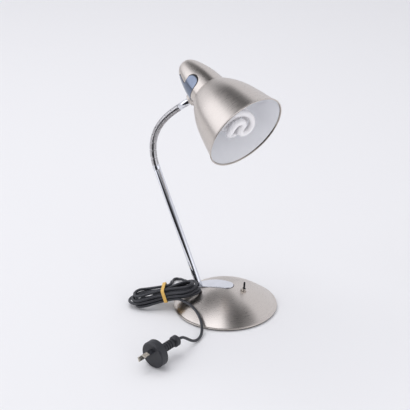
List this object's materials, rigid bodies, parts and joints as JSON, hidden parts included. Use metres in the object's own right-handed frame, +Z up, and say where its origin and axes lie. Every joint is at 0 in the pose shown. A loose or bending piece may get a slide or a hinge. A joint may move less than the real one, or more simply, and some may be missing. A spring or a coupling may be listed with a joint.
{
  "type": "desk lamp",
  "caption": "Desk lamp with a brushed metal dome base and toggle switch, leaning stem, gooseneck, bell shade with a chrome saddle, and a mains lead tied in a hank.",
  "frame": {"origin": "centre of the round base on the surface it stands on", "axes": "+Z up, +X from the stem towards the switch, so the head hangs forward over +X"},
  "size_m": [0.2039, 0.2849, 0.3606],
  "materials": {
    "pad": "soft foam rubber",
    "inner_steel": "zinc plated",
    "brushed_metal": "satin brushed nickel",
    "weight": "as cast",
    "chrome": "polished",
    "flex_metal": "satin nickel",
    "shade_metal": "satin brushed nickel outside, pale paint inside",
    "holder_plastic": "moulded",
    "brass": "bare",
    "cap_metal": "bare",
    "bulb_plastic": "moulded",
    "lamp_glass": "white coated tube",
    "switch_metal": "nickel plated",
    "cord_rubber": "smooth matt sheath",
    "band": "natural rubber",
    "plug_plastic": "fine matt moulding",
    "pin_metal": "nickel plated"
  },
  "bodies": {
    "base": {"base_pad": "pad", "bottom_plate": "inner_steel", "base_screws": "inner_steel", "base_dome": "brushed_metal", "base_weight": "weight", "base_leaf": "chrome", "stem_tube": "brushed_metal", "stem_cap": "brushed_metal", "stem_stud": "inner_steel", "stem_washer": "inner_steel", "stem_nut": "inner_steel", "switch_body": "switch_metal", "switch_terminals": "brass", "switch_washer": "inner_steel", "switch_nut": "switch_metal", "cord_bushing": "cord_rubber", "cord_inner": "cord_rubber", "cord_lead": "cord_rubber", "cord_hank": "cord_rubber", "cord_tail": "cord_rubber", "cord_tie": "band", "plug_body": "plug_plastic", "plug_boot": "plug_plastic", "plug_pins": "pin_metal", "pin_sleeves": "plug_plastic"},
    "lever": {"switch_lever": "chrome"},
    "link_01": {"gooseneck_link_01": "flex_metal"},
    "link_02": {"gooseneck_link_02": "flex_metal"},
    "link_03": {"gooseneck_link_03": "flex_metal"},
    "link_04": {"gooseneck_link_04": "flex_metal"},
    "link_05": {"gooseneck_link_05": "flex_metal"},
    "link_06": {"gooseneck_link_06": "flex_metal"},
    "link_07": {"gooseneck_link_07": "flex_metal"},
    "link_08": {"gooseneck_link_08": "flex_metal"},
    "link_09": {"gooseneck_link_09": "flex_metal"},
    "ferrule": {"upper_ferrule": "brushed_metal", "ferrule_washer": "inner_steel", "ferrule_nut": "inner_steel"},
    "head": {"neck_cover": "brushed_metal", "neck_saddle": "chrome", "holder_bracket": "inner_steel", "holder_nut": "inner_steel", "lampholder": "holder_plastic", "holder_sleeve": "brass", "holder_contact": "brass", "shade_ring": "holder_plastic", "shade": "shade_metal", "bulb_cap": "cap_metal", "bulb_housing": "bulb_plastic", "bulb_tube": "lamp_glass"}
  },
  "joints": [
    {"name": "switch_toggle", "type": "hinge", "parent": "base", "child": "lever", "pos_m": [0.02897, 0, 0.03362], "axis": [0, 1, 0], "range_deg": [0, 25]},
    {"name": "neck_bend", "type": "hinge", "parent": "base", "child": "link_01", "pos_m": [-0.10761, 0, 0.20369], "axis": [0, 1, 0], "range_deg": [-14, 9]},
    {"name": "neck_sway", "type": "hinge", "parent": "link_01", "child": "link_02", "pos_m": [-0.11024, 0, 0.21539], "axis": [-0.9869, 0, -0.1616], "range_deg": [-10, 10]},
    {"name": "neck_bend_2", "type": "hinge", "parent": "link_02", "child": "link_03", "pos_m": [-0.11137, 0, 0.22733], "axis": [0, 1, 0], "range_deg": [-14, 9]},
    {"name": "neck_sway_2", "type": "hinge", "parent": "link_03", "child": "link_04", "pos_m": [-0.11053, 0, 0.23928], "axis": [-0.9863, 0, 0.165], "range_deg": [-10, 10]},
    {"name": "neck_bend_3", "type": "hinge", "parent": "link_04", "child": "link_05", "pos_m": [-0.10753, 0, 0.25089], "axis": [0, 1, 0], "range_deg": [-14, 9]},
    {"name": "neck_sway_3", "type": "hinge", "parent": "link_05", "child": "link_06", "pos_m": [-0.10261, 0, 0.26182], "axis": [-0.8746, 0, 0.4848], "range_deg": [-10, 10]},
    {"name": "neck_bend_4", "type": "hinge", "parent": "link_06", "child": "link_07", "pos_m": [-0.09599, 0, 0.27181], "axis": [0, 1, 0], "range_deg": [-14, 9]},
    {"name": "neck_sway_4", "type": "hinge", "parent": "link_07", "child": "link_08", "pos_m": [-0.08806, 0, 0.28081], "axis": [-0.7096, 0, 0.7046], "range_deg": [-10, 10]},
    {"name": "neck_bend_5", "type": "hinge", "parent": "link_08", "child": "link_09", "pos_m": [-0.07926, 0, 0.28897], "axis": [0, 1, 0], "range_deg": [-14, 9]},
    {"name": "neck_sway_5", "type": "hinge", "parent": "link_09", "child": "ferrule", "pos_m": [-0.06991, 0, 0.29648], "axis": [-0.6032, 0, 0.7976], "range_deg": [-10, 10]},
    {"name": "head_swivel", "type": "hinge", "parent": "ferrule", "child": "head", "pos_m": [-0.02876, 0, 0.32761], "axis": [0.7976, 0, 0.6032], "range_deg": [-124, 176]}
  ]
}
